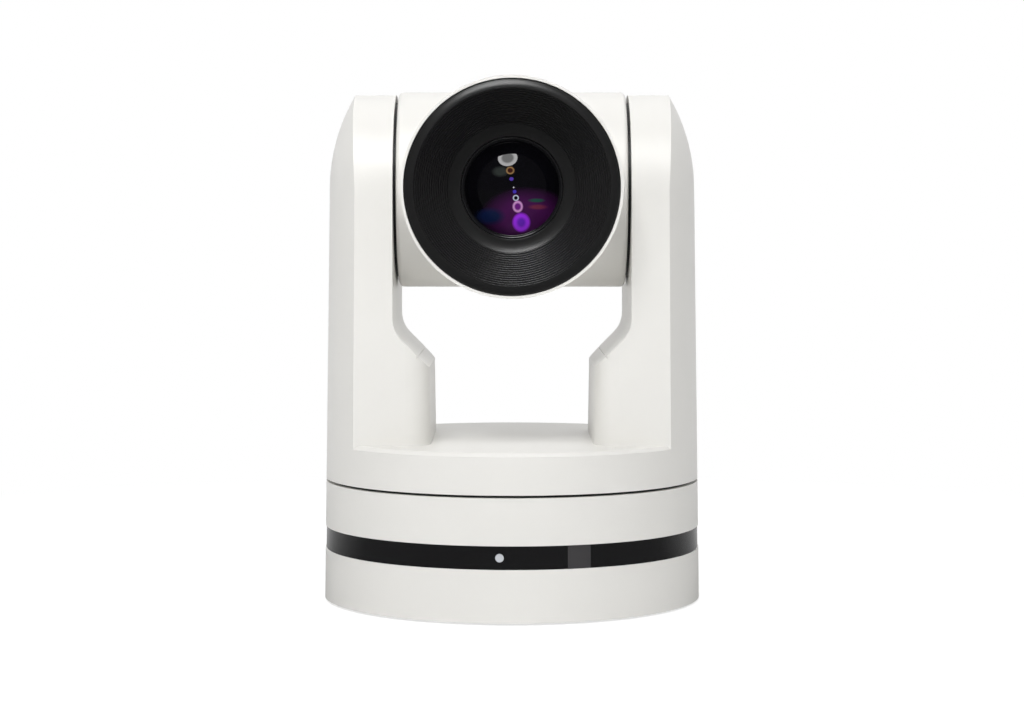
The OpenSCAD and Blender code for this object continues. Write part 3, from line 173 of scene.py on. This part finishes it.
# Name: shade, its spread, roughness, its spread, grain in waves per metre, grain strength, grain depth in m.
FINISHES = {
    "white_shell": ((0.79, 0.78, 0.75), 0.012, 0.40, 0.05, 2600, 0.10, 0.00006),
    "black_band": ((0.006, 0.006, 0.0065), 0.1, 0.12, 0.02, 900, 0.02, 0.00003),
    "rubber": ((0.018, 0.018, 0.018), 0.15, 0.75, 0.08, 1800, 0.2, 0.0001),
    "steel": ((0.56, 0.56, 0.57), 0.05, 0.30, 0.08, 1200, 0.08, 0.00003),
    "steel_plate": ((0.50, 0.51, 0.53), 0.08, 0.38, 0.08, 500, 0.08, 0.00004),
    "aluminium": ((0.72, 0.73, 0.75), 0.04, 0.32, 0.06, 900, 0.06, 0.00003),
    "brass": ((0.75, 0.55, 0.25), 0.06, 0.30, 0.06, 900, 0.06, 0.00003),
    "motor_case": ((0.03, 0.03, 0.033), 0.1, 0.45, 0.06, 900, 0.1, 0.00005),
    "circuit_board": ((0.012, 0.09, 0.04), 0.2, 0.35, 0.06, 700, 0.08, 0.00004),
    "dark_plastic": ((0.012, 0.012, 0.013), 0.12, 0.48, 0.06, 1500, 0.15, 0.00006),
    "dark_metal": ((0.016, 0.016, 0.018), 0.12, 0.42, 0.06, 1100, 0.12, 0.00005),
    "connector_metal": ((0.70, 0.69, 0.66), 0.04, 0.22, 0.06, 900, 0.05, 0.00003),
    "bezel_black": ((0.010, 0.010, 0.0103), 0.1, 0.33, 0.05, 2200, 0.12, 0.00005),
    "ir_window": ((0.05, 0.048, 0.05), 0.08, 0.16, 0.03, 900, 0.03, 0.00003),
    "light_pipe": ((0.55, 0.57, 0.60), 0.03, 0.35, 0.05, 900, 0.05, 0.00003),
    "ring_black": ((0.008, 0.008, 0.009), 0.1, 0.22, 0.04, 900, 0.05, 0.00003),
    "link_green": ((0.05, 0.30, 0.06), 0.1, 0.25, 0.04, 900, 0.03, 0.00003),
    "link_amber": ((0.50, 0.25, 0.03), 0.1, 0.25, 0.04, 900, 0.03, 0.00003),
    "lens_glass": ((0.004, 0.004, 0.006), 0.1, 0.05, 0.01, 300, 0.0, 0.00003),
}
BARE_METALS = {"steel", "steel_plate", "aluminium", "brass", "connector_metal"}
LACQUERED = {"black_band", "ir_window"}
LACQUER = 0.3

materials = {
    name: finish(name, *values, metallic=float(name in BARE_METALS), coat=LACQUER * (name in LACQUERED))
    for name, values in FINISHES.items()
}

slot_of = {part["node"]: part["material_slot"] for part in frame["record"]["subparts"]}
for name, obj in frame["nodes"].items():
    obj.data.materials.clear()
    obj.data.materials.append(materials[slot_of[name]])


# ---------- pieces turned about the lens axis ----------

def put(name, data):
    """An object for a mesh, a lamp or a camera, in the scene."""
    obj = bpy.data.objects.new(name, data)
    bpy.context.scene.collection.objects.link(obj)
    return obj


def link(name, bm, mat, sharp):
    """A piece from a bmesh, smooth but for edges sharper than an angle in degrees."""
    mesh = bpy.data.meshes.new(name)
    bm.to_mesh(mesh)
    bm.free()
    mesh.materials.append(mat)
    mesh.shade_smooth()
    mesh.set_sharp_from_angle(angle=math.radians(sharp))
    return put(name, mesh)


def stand_in(piece, body, node):
    """A piece that rides on a body and stands in for a CAD node, which it hides."""
    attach(piece, body)
    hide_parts(node)


def turned(name, profile, mat, steps=192, closed=False, sharp=35.0):
    """A profile of (radius, y) in mm turned about the lens axis."""
    bm = bmesh.new()
    rings = []
    for radius, y in profile:
        if radius < 1e-6:
            rings.append([bm.verts.new((0, y * MM, TILT_Z * MM))])
            continue
        ring = []
        for i in range(steps):
            turn = 2 * math.pi * i / steps
            height = TILT_Z + radius * math.sin(turn)
            ring.append(bm.verts.new((radius * MM * math.cos(turn), y * MM, height * MM)))
        rings.append(ring)
    pairs = list(zip(rings, rings[1:]))
    if closed:
        pairs.append((rings[-1], rings[0]))
    for a, b in pairs:
        for i in range(steps):
            j = (i + 1) % steps
            quad = [a[i % len(a)], a[j % len(a)], b[j % len(b)], b[i % len(b)]]
            corners = list(dict.fromkeys(quad))
            if len(corners) > 2:
                bm.faces.new(corners)
    bmesh.ops.recalc_face_normals(bm, faces=bm.faces)
    return link(name, bm, mat, sharp)


def arc(centre, radius, start, end, steps):
    """Points on a circle in the profile plane, angles in degrees from the radius axis towards +y."""
    points = []
    for i in range(steps + 1):
        turn = math.radians(start + (end - start) * i / steps)
        points.append((centre[0] + radius * math.cos(turn), centre[1] + radius * math.sin(turn)))
    return points


def dome(rim, rim_y, curve, steps):
    """Points from the axis out to the rim of a spherical cap that swells to the front."""
    centre_y = rim_y + math.sqrt(curve * curve - rim * rim)
    reach = math.asin(rim / curve)
    points = []
    for i in range(steps + 1):
        turn = reach * i / steps
        points.append((curve * math.sin(turn), centre_y - curve * math.cos(turn)))
    return points


def rounded_rim():
    """The bezel's front edge, from its seat in the shell to where the ridges start."""
    outside = [(BEZEL_R, SEAT_Y), (BEZEL_R, BEZEL_Y + 1.45), (BEZEL_R - 0.12, BEZEL_Y + 1.2),
               (BEZEL_R - 0.4, BEZEL_Y + 0.95)]
    crown = [(RIM_R + 1.63, BEZEL_Y + 0.3), (RIM_R + 0.98, BEZEL_Y + 0.11), (RIM_R + 0.28, BEZEL_Y + 0.02),
             (RIM_R, BEZEL_Y)]
    return outside + crown + arc((RIM_R, BEZEL_Y + 0.22), 0.22, 270, 180, 5)


def ridge(r, y):
    """One step of the funnel: a flat tread, a rounded nose and a sloped riser."""
    tread = [(r, y - 0.1), (r - 0.03, y), (r - 0.34, y - 0.02)]
    return tread + arc((r - 0.38, y + 0.36), 0.38, 268, 186, 5) + [(r - 0.765, y + 0.55)]


def bezel_profile():
    """The funnel's closed outline: rim, ridges, smooth floor, bore and back."""
    points = rounded_rim()
    for i in range(RIDGES):
        points += ridge(RIDGE_R0 - i * RIDGE_W, RIDGE_Y0 + i * RIDGE_D)
    last = RIDGE_R0 - RIDGES * RIDGE_W
    points += [(last, SMOOTH_Y - 0.1), (last - 0.1, SMOOTH_Y), (BORE + 0.35, SMOOTH_Y)]
    points += arc((BORE + 0.3, SMOOTH_Y + 0.3), 0.3, 270, 180, 5)
    points += [(BORE, BEZEL_BACK), (last, BEZEL_BACK), (last + 11, SEAT_Y)]
    return points


def make_bezel():
    bezel = turned("ridged_bezel", bezel_profile(), materials["bezel_black"], 256, closed=True, sharp=50)
    stand_in(bezel, "head", "lens_bezel")


# Painted reflections: coloured spots and rings that stand for the lamps mirrored in the coated elements
# inside, in mm from the lens axis, each over the ones before it.
# Filled: x, z, half width, half height, colour.
FILLED_REFLECTION_SPOTS = [
    (5.5, -11.0, 13.0, 8.5, (0.050, 0.006, 0.060)),
    (-8.0, -10.4, 4.5, 2.6, (0.004, 0.010, 0.045)),
    (9.5, -7.0, 3.0, 0.8, (0.130, 0.020, 0.050)),
    (9.0, -4.6, 2.6, 0.6, (0.012, 0.060, 0.045)),
    (-4.2, 5.9, 2.6, 1.6, (0.022, 0.026, 0.024)),
    (-0.2, 3.2, 0.75, 0.65, (0.070, 0.035, 0.300)),
    (0.6, 0.1, 0.28, 0.28, (0.500, 0.500, 0.550)),
    (0.95, -1.4, 0.65, 0.65, (0.050, 0.030, 0.380)),
]
# Ringed: x, z, half width, half height, share inside the ring, ring colour, inner colour.
RINGED_REFLECTION_SPOTS = [
    (-0.65, 6.3, 1.45, 1.35, 0.55, (0.260, 0.150, 0.060), (0.030, 0.008, 0.006)),
    (1.4, -3.7, 1.05, 1.05, 0.55, (0.520, 0.560, 0.680), (0.004, 0.004, 0.008)),
    (2.1, -6.85, 1.8, 2.05, 0.5, (0.560, 0.270, 0.560), (0.120, 0.012, 0.170)),
    (3.4, -12.6, 3.1, 3.3, 0.35, (0.330, 0.030, 0.780), (0.130, 0.018, 0.480)),
]
WIDE_SPOT, WIDE_BLUR, FINE_BLUR, RING_BLUR = 2.2, 0.35, 0.14, 0.3


def reflection_reach(tree, x, z, half_w, half_h):
    """How far a point lies from a spot's middle, 1 at its edge, seen along the lens axis."""
    coords = add(tree, "ShaderNodeTexCoord")
    place = add(tree, "ShaderNodeVectorMath", operation="SUBTRACT")
    place.inputs[1].default_value = (x * MM, 0, (TILT_Z + z) * MM)
    scale = add(tree, "ShaderNodeVectorMath", operation="MULTIPLY")
    scale.inputs[1].default_value = (1 / (half_w * MM), 0, 1 / (half_h * MM))
    reach = add(tree, "ShaderNodeVectorMath", operation="LENGTH")
    tree.links.new(coords.outputs["Object"], place.inputs[0])
    tree.links.new(place.outputs["Vector"], scale.inputs[0])
    tree.links.new(scale.outputs["Vector"], reach.inputs[0])
    return reach.outputs["Value"]


def lens_painted_reflections():
    """Dark coated glass with painted reflections: tinted spots and rings stand for the lamps mirrored in the
    elements behind it.
    """
    mat, tree, shader = new_material("lens_painted_reflections")
    noise = object_noise(tree, 120.0, 3.0)
    colour = tinted(tree, noise.outputs["Fac"], (0.0012, 0.0012, 0.0018), (0.0028, 0.0026, 0.0040))
    # Every spot and ring laid on here is a painted reflection of the lamps, the small white dot a painted
    # highlight, not the glass's own colour.
    for x, z, half_w, half_h, shade in FILLED_REFLECTION_SPOTS:
        reach = reflection_reach(tree, x, z, half_w, half_h)
        blur = WIDE_BLUR if half_w > WIDE_SPOT else FINE_BLUR
        inside = remap(tree, reach, 1.0, 0.0, 1 - blur, 1 + blur)
        colour = layered(tree, colour, shade, inside)
    for x, z, half_w, half_h, ring, rim_shade, core_shade in RINGED_REFLECTION_SPOTS:
        reach = reflection_reach(tree, x, z, half_w, half_h)
        inside = remap(tree, reach, 1.0, 0.0, 1 - FINE_BLUR, 1 + FINE_BLUR)
        at_rim = remap(tree, reach, 0.0, 1.0, ring, ring + RING_BLUR)
        colour = layered(tree, colour, tinted(tree, at_rim, core_shade, rim_shade), inside)
    tree.links.new(colour, shader.inputs["Base Color"])
    tree.links.new(remap(tree, noise.outputs["Fac"], 0.02, 0.04), shader.inputs["Roughness"])
    shader.inputs["Specular IOR Level"].default_value = 0.28
    return mat


def glass_profile():
    """The front element: a dome, a small chamfer, its edge and a flat back."""
    dome_r = GLASS_R - 0.7
    dome_y = GLASS_Y - math.sqrt(GLASS_CURVE ** 2 - dome_r ** 2) + math.sqrt(GLASS_CURVE ** 2 - GLASS_R ** 2)
    chamfer = [(GLASS_R - 0.4, dome_y + 0.32), (GLASS_R - 0.1, GLASS_Y - 0.05)]
    edge = [(GLASS_R, GLASS_Y + 0.3), (GLASS_R, GLASS_BACK - 0.2), (GLASS_R - 0.2, GLASS_BACK)]
    return dome(dome_r, dome_y, GLASS_CURVE, 28) + chamfer + edge + [(0, GLASS_BACK)]


def ring_profile():
    """The retaining ring's closed outline: outer side, front lip, inner step and back."""
    points = [(RING_OUT, RING_BACK), (RING_OUT, RING_Y + 0.05), (RING_OUT - 0.15, RING_Y - 0.23)]
    points += arc((RING_OUT - 0.5, RING_Y - 0.05), 0.2, 300, 240, 4)
    points += [(RING_IN + 0.4, RING_Y), (RING_IN + 0.25, RING_Y + 0.35), (RING_IN + 0.01, RING_Y + 0.45)]
    points += [(RING_IN, GLASS_BACK), (RING_IN - 0.35, GLASS_BACK + 0.1), (RING_IN - 0.45, RING_BACK)]
    return points


def make_lens():
    glass = turned("front_element", glass_profile(), lens_painted_reflections())
    stand_in(glass, "head", "front_glass")
    retainer = turned("retaining_ring", ring_profile(), materials["ring_black"], closed=True, sharp=50)
    stand_in(retainer, "head", "lens_ring")


# ---------- small parts at the back ----------

def blocks(name, boxes, mat, body, bevel):
    """Small bevelled bars as one piece; each box is its lowest and highest corner in mm."""
    bm = bmesh.new()
    for low, high in boxes:
        for vert in bmesh.ops.create_cube(bm, size=1.0)["verts"]:
            vert.co = [(low[k] + (vert.co[k] + 0.5) * (high[k] - low[k])) * MM for k in range(3)]
    bmesh.ops.bevel(bm, geom=bm.edges[:], offset=bevel * MM, segments=2, affect="EDGES")
    piece = link(name, bm, mat, sharp=40.0)
    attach(piece, body)


def make_connector_details():
    """Spring contacts and link lights of the network socket."""
    low, high = (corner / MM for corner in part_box("lan_port"))
    middle, face, top = (low.x + high.x) / 2, high.y, high.z
    contacts = []
    for i in range(CONTACTS):
        x = middle + (i - (CONTACTS - 1) / 2) * CONTACT_PITCH
        contacts.append(((x - CONTACT_W / 2, face - CONTACT_BACK, top - CONTACT_BOTTOM),
                         (x + CONTACT_W / 2, face - CONTACT_FRONT, top - CONTACT_TOP)))
    blocks("lan_contacts", contacts, materials["brass"], "base", 0.06)
    for side, shade in [(-1, "link_green"), (1, "link_amber")]:
        x = middle + side * LINK_LIGHT_X
        window = ((x - LINK_LIGHT_W / 2, face - 0.3, top - LINK_LIGHT_BOTTOM),
                  (x + LINK_LIGHT_W / 2, face + 0.12, top - LINK_LIGHT_TOP))
        blocks(f"{shade}_light", [window], materials[shade], "base", 0.1)


def make_screw_recess_shade():
    """Dark crosses on the four screws of the head's rear cover: painted shade that stands for their cross
    recesses.
    """
    low, high = (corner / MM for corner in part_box("head_screws"))
    back, front = high.y - CROSS_DEPTH, high.y + 0.03
    bars = [(CROSS_LONG / 2, CROSS_THIN / 2), (CROSS_THIN / 2, CROSS_LONG / 2)]
    crosses = []
    # The crosses sit just proud of the screw heads, so their darkness is painted shade, not a cut.
    for x in (low.x + SCREW_HEAD_R, high.x - SCREW_HEAD_R):
        for z in (low.z + SCREW_HEAD_R, high.z - SCREW_HEAD_R):
            crosses += [((x - wide, back, z - tall), (x + wide, front, z + tall)) for wide, tall in bars]
    blocks("cross_recess_shade", crosses, materials["ring_black"], "head", 0.04)


make_bezel()
make_lens()
make_connector_details()
make_screw_recess_shade()


# ---------- floor, light and view ----------

def three_looks(tree, seen, mirrored, plain, output):
    """One look for the camera, one for mirrored and refracted rays, one for light on the object."""
    path = add(tree, "ShaderNodeLightPath")
    either = add(tree, "ShaderNodeMath", operation="MAXIMUM")
    tree.links.new(path.outputs["Is Glossy Ray"], either.inputs[0])
    tree.links.new(path.outputs["Is Transmission Ray"], either.inputs[1])
    first = add(tree, "ShaderNodeMixShader")
    tree.links.new(either.outputs[0], first.inputs[0])
    tree.links.new(plain, first.inputs[1])
    tree.links.new(mirrored, first.inputs[2])
    second = add(tree, "ShaderNodeMixShader")
    tree.links.new(path.outputs["Is Camera Ray"], second.inputs[0])
    tree.links.new(first.outputs[0], second.inputs[1])
    tree.links.new(seen, second.inputs[2])
    tree.links.new(second.outputs[0], output)


def floor_seen(tree, coords):
    """White that keeps the object's shadow close by and is plain white further out."""
    shadowed = add(tree, "ShaderNodeBsdfDiffuse")
    shadowed.inputs["Color"].default_value = (0.45, 0.45, 0.45, 1)
    glow = add(tree, "ShaderNodeEmission", Strength=0.72)
    near = add(tree, "ShaderNodeAddShader")
    tree.links.new(shadowed.outputs[0], near.inputs[0])
    tree.links.new(glow.outputs[0], near.inputs[1])
    white = add(tree, "ShaderNodeEmission", Strength=1.0)
    away = add(tree, "ShaderNodeVectorMath", operation="LENGTH")
    tree.links.new(coords.outputs["Object"], away.inputs[0])
    seen = add(tree, "ShaderNodeMixShader")
    tree.links.new(remap(tree, away.outputs["Value"], 0.0, 1.0, WHITE_FROM, WHITE_AT), seen.inputs[0])
    tree.links.new(near.outputs[0], seen.inputs[1])
    tree.links.new(white.outputs[0], seen.inputs[2])
    return seen.outputs[0]


def floor_mirrored(tree, coords):
    """What gloss shows of the floor: dark in front of the object and light behind it."""
    split = add(tree, "ShaderNodeSeparateXYZ")
    tree.links.new(coords.outputs["Object"], split.inputs[0])
    mirrored = add(tree, "ShaderNodeEmission")
    tree.links.new(remap(tree, split.outputs["Y"], 0.12, 1.0, 0.0, 0.5), mirrored.inputs["Strength"])
    return mirrored.outputs[0]


def floor_material():
    mat = bpy.data.materials.new("floor_white")
    mat.use_nodes = True
    tree = mat.node_tree
    tree.nodes.clear()
    out = add(tree, "ShaderNodeOutputMaterial")
    coords = add(tree, "ShaderNodeTexCoord")
    noise = object_noise(tree, 6.0)
    plain = add(tree, "ShaderNodeBsdfDiffuse")
    tone = tinted(tree, noise.outputs["Fac"], (0.86, 0.86, 0.86), (0.88, 0.88, 0.88))
    tree.links.new(tone, plain.inputs["Color"])
    three_looks(tree, floor_seen(tree, coords), floor_mirrored(tree, coords), plain.outputs[0],
                out.inputs["Surface"])
    return mat


def make_floor():
    mesh = bpy.data.meshes.new("floor")
    bm = bmesh.new()
    bmesh.ops.create_grid(bm, x_segments=8, y_segments=8, size=FLOOR_SIZE / 2)
    bm.to_mesh(mesh)
    bm.free()
    mesh.materials.append(floor_material())
    put("floor", mesh)


def make_world():
    """White to the camera, a plain fill to the object, and dark in front to what gloss shows."""
    world = bpy.data.worlds.new("studio")
    bpy.context.scene.world = world
    world.use_nodes = True
    tree = world.node_tree
    tree.nodes.clear()
    out = add(tree, "ShaderNodeOutputWorld")
    white, room, fill = (add(tree, "ShaderNodeBackground") for _ in range(3))
    for backdrop, strength in [(white, 1.0), (room, 1.0), (fill, 0.28)]:
        backdrop.inputs["Color"].default_value = (1, 1, 1, 1)
        backdrop.inputs["Strength"].default_value = strength
    coords = add(tree, "ShaderNodeTexCoord")
    split = add(tree, "ShaderNodeSeparateXYZ")
    tree.links.new(coords.outputs["Generated"], split.inputs[0])
    tree.links.new(remap(tree, split.outputs["Y"], 0.08, 1.0, 0.0, 0.7), room.inputs["Strength"])
    three_looks(tree, white.outputs[0], room.outputs[0], fill.outputs[0], out.inputs["Surface"])


def turn_to(obj, place, aim):
    """Put a lamp or the camera at a place, looking at an aim."""
    obj.location = place
    obj.rotation_euler = (Vector(aim) - Vector(place)).to_track_quat("-Z", "Y").to_euler()


def area_light(name, place, size, power):
    """A square soft box turned to the object."""
    data = bpy.data.lights.new(name, "AREA")
    data.energy = power
    data.size = size
    lamp = put(name, data)
    turn_to(lamp, place, LIGHTS_AIM)
    return lamp


def dish_light(name, place, size, power):
    """A round reflector lamp: its rim is brighter than its middle."""
    data = area_light(name, place, size, power).data
    data.shape = "DISK"
    data.use_nodes = True
    tree = data.node_tree
    spot = add(tree, "ShaderNodeNewGeometry")
    centred = add(tree, "ShaderNodeVectorMath", operation="SUBTRACT")
    centred.inputs[1].default_value = (0.5, 0.5, 0.0)
    length = add(tree, "ShaderNodeVectorMath", operation="LENGTH")
    tree.links.new(spot.outputs["Parametric"], centred.inputs[0])
    tree.links.new(centred.outputs["Vector"], length.inputs[0])
    strength = remap(tree, length.outputs["Value"], 0.45, 1.25, 0.26, 0.36)
    tree.links.new(strength, tree.nodes["Emission"].inputs["Strength"])


def make_lights():
    dish_light("key", **KEY_LAMP)
    for name, place, power in SOFT_LAMPS:
        soft = area_light(name, place, SOFT_LAMP_SIZE, power)
        soft.visible_glossy = False
    area_light("top", **TOP_LAMP)


def make_camera():
    data = bpy.data.cameras.new("view")
    data.lens = LENS_MM
    data.sensor_width = SENSOR_MM
    camera = put("view", data)
    turn_to(camera, CAMERA_PLACE, CAMERA_AIM)
    bpy.context.scene.camera = camera


make_floor()
make_world()
make_lights()
make_camera()
bpy.context.scene.view_settings.view_transform = "Standard"
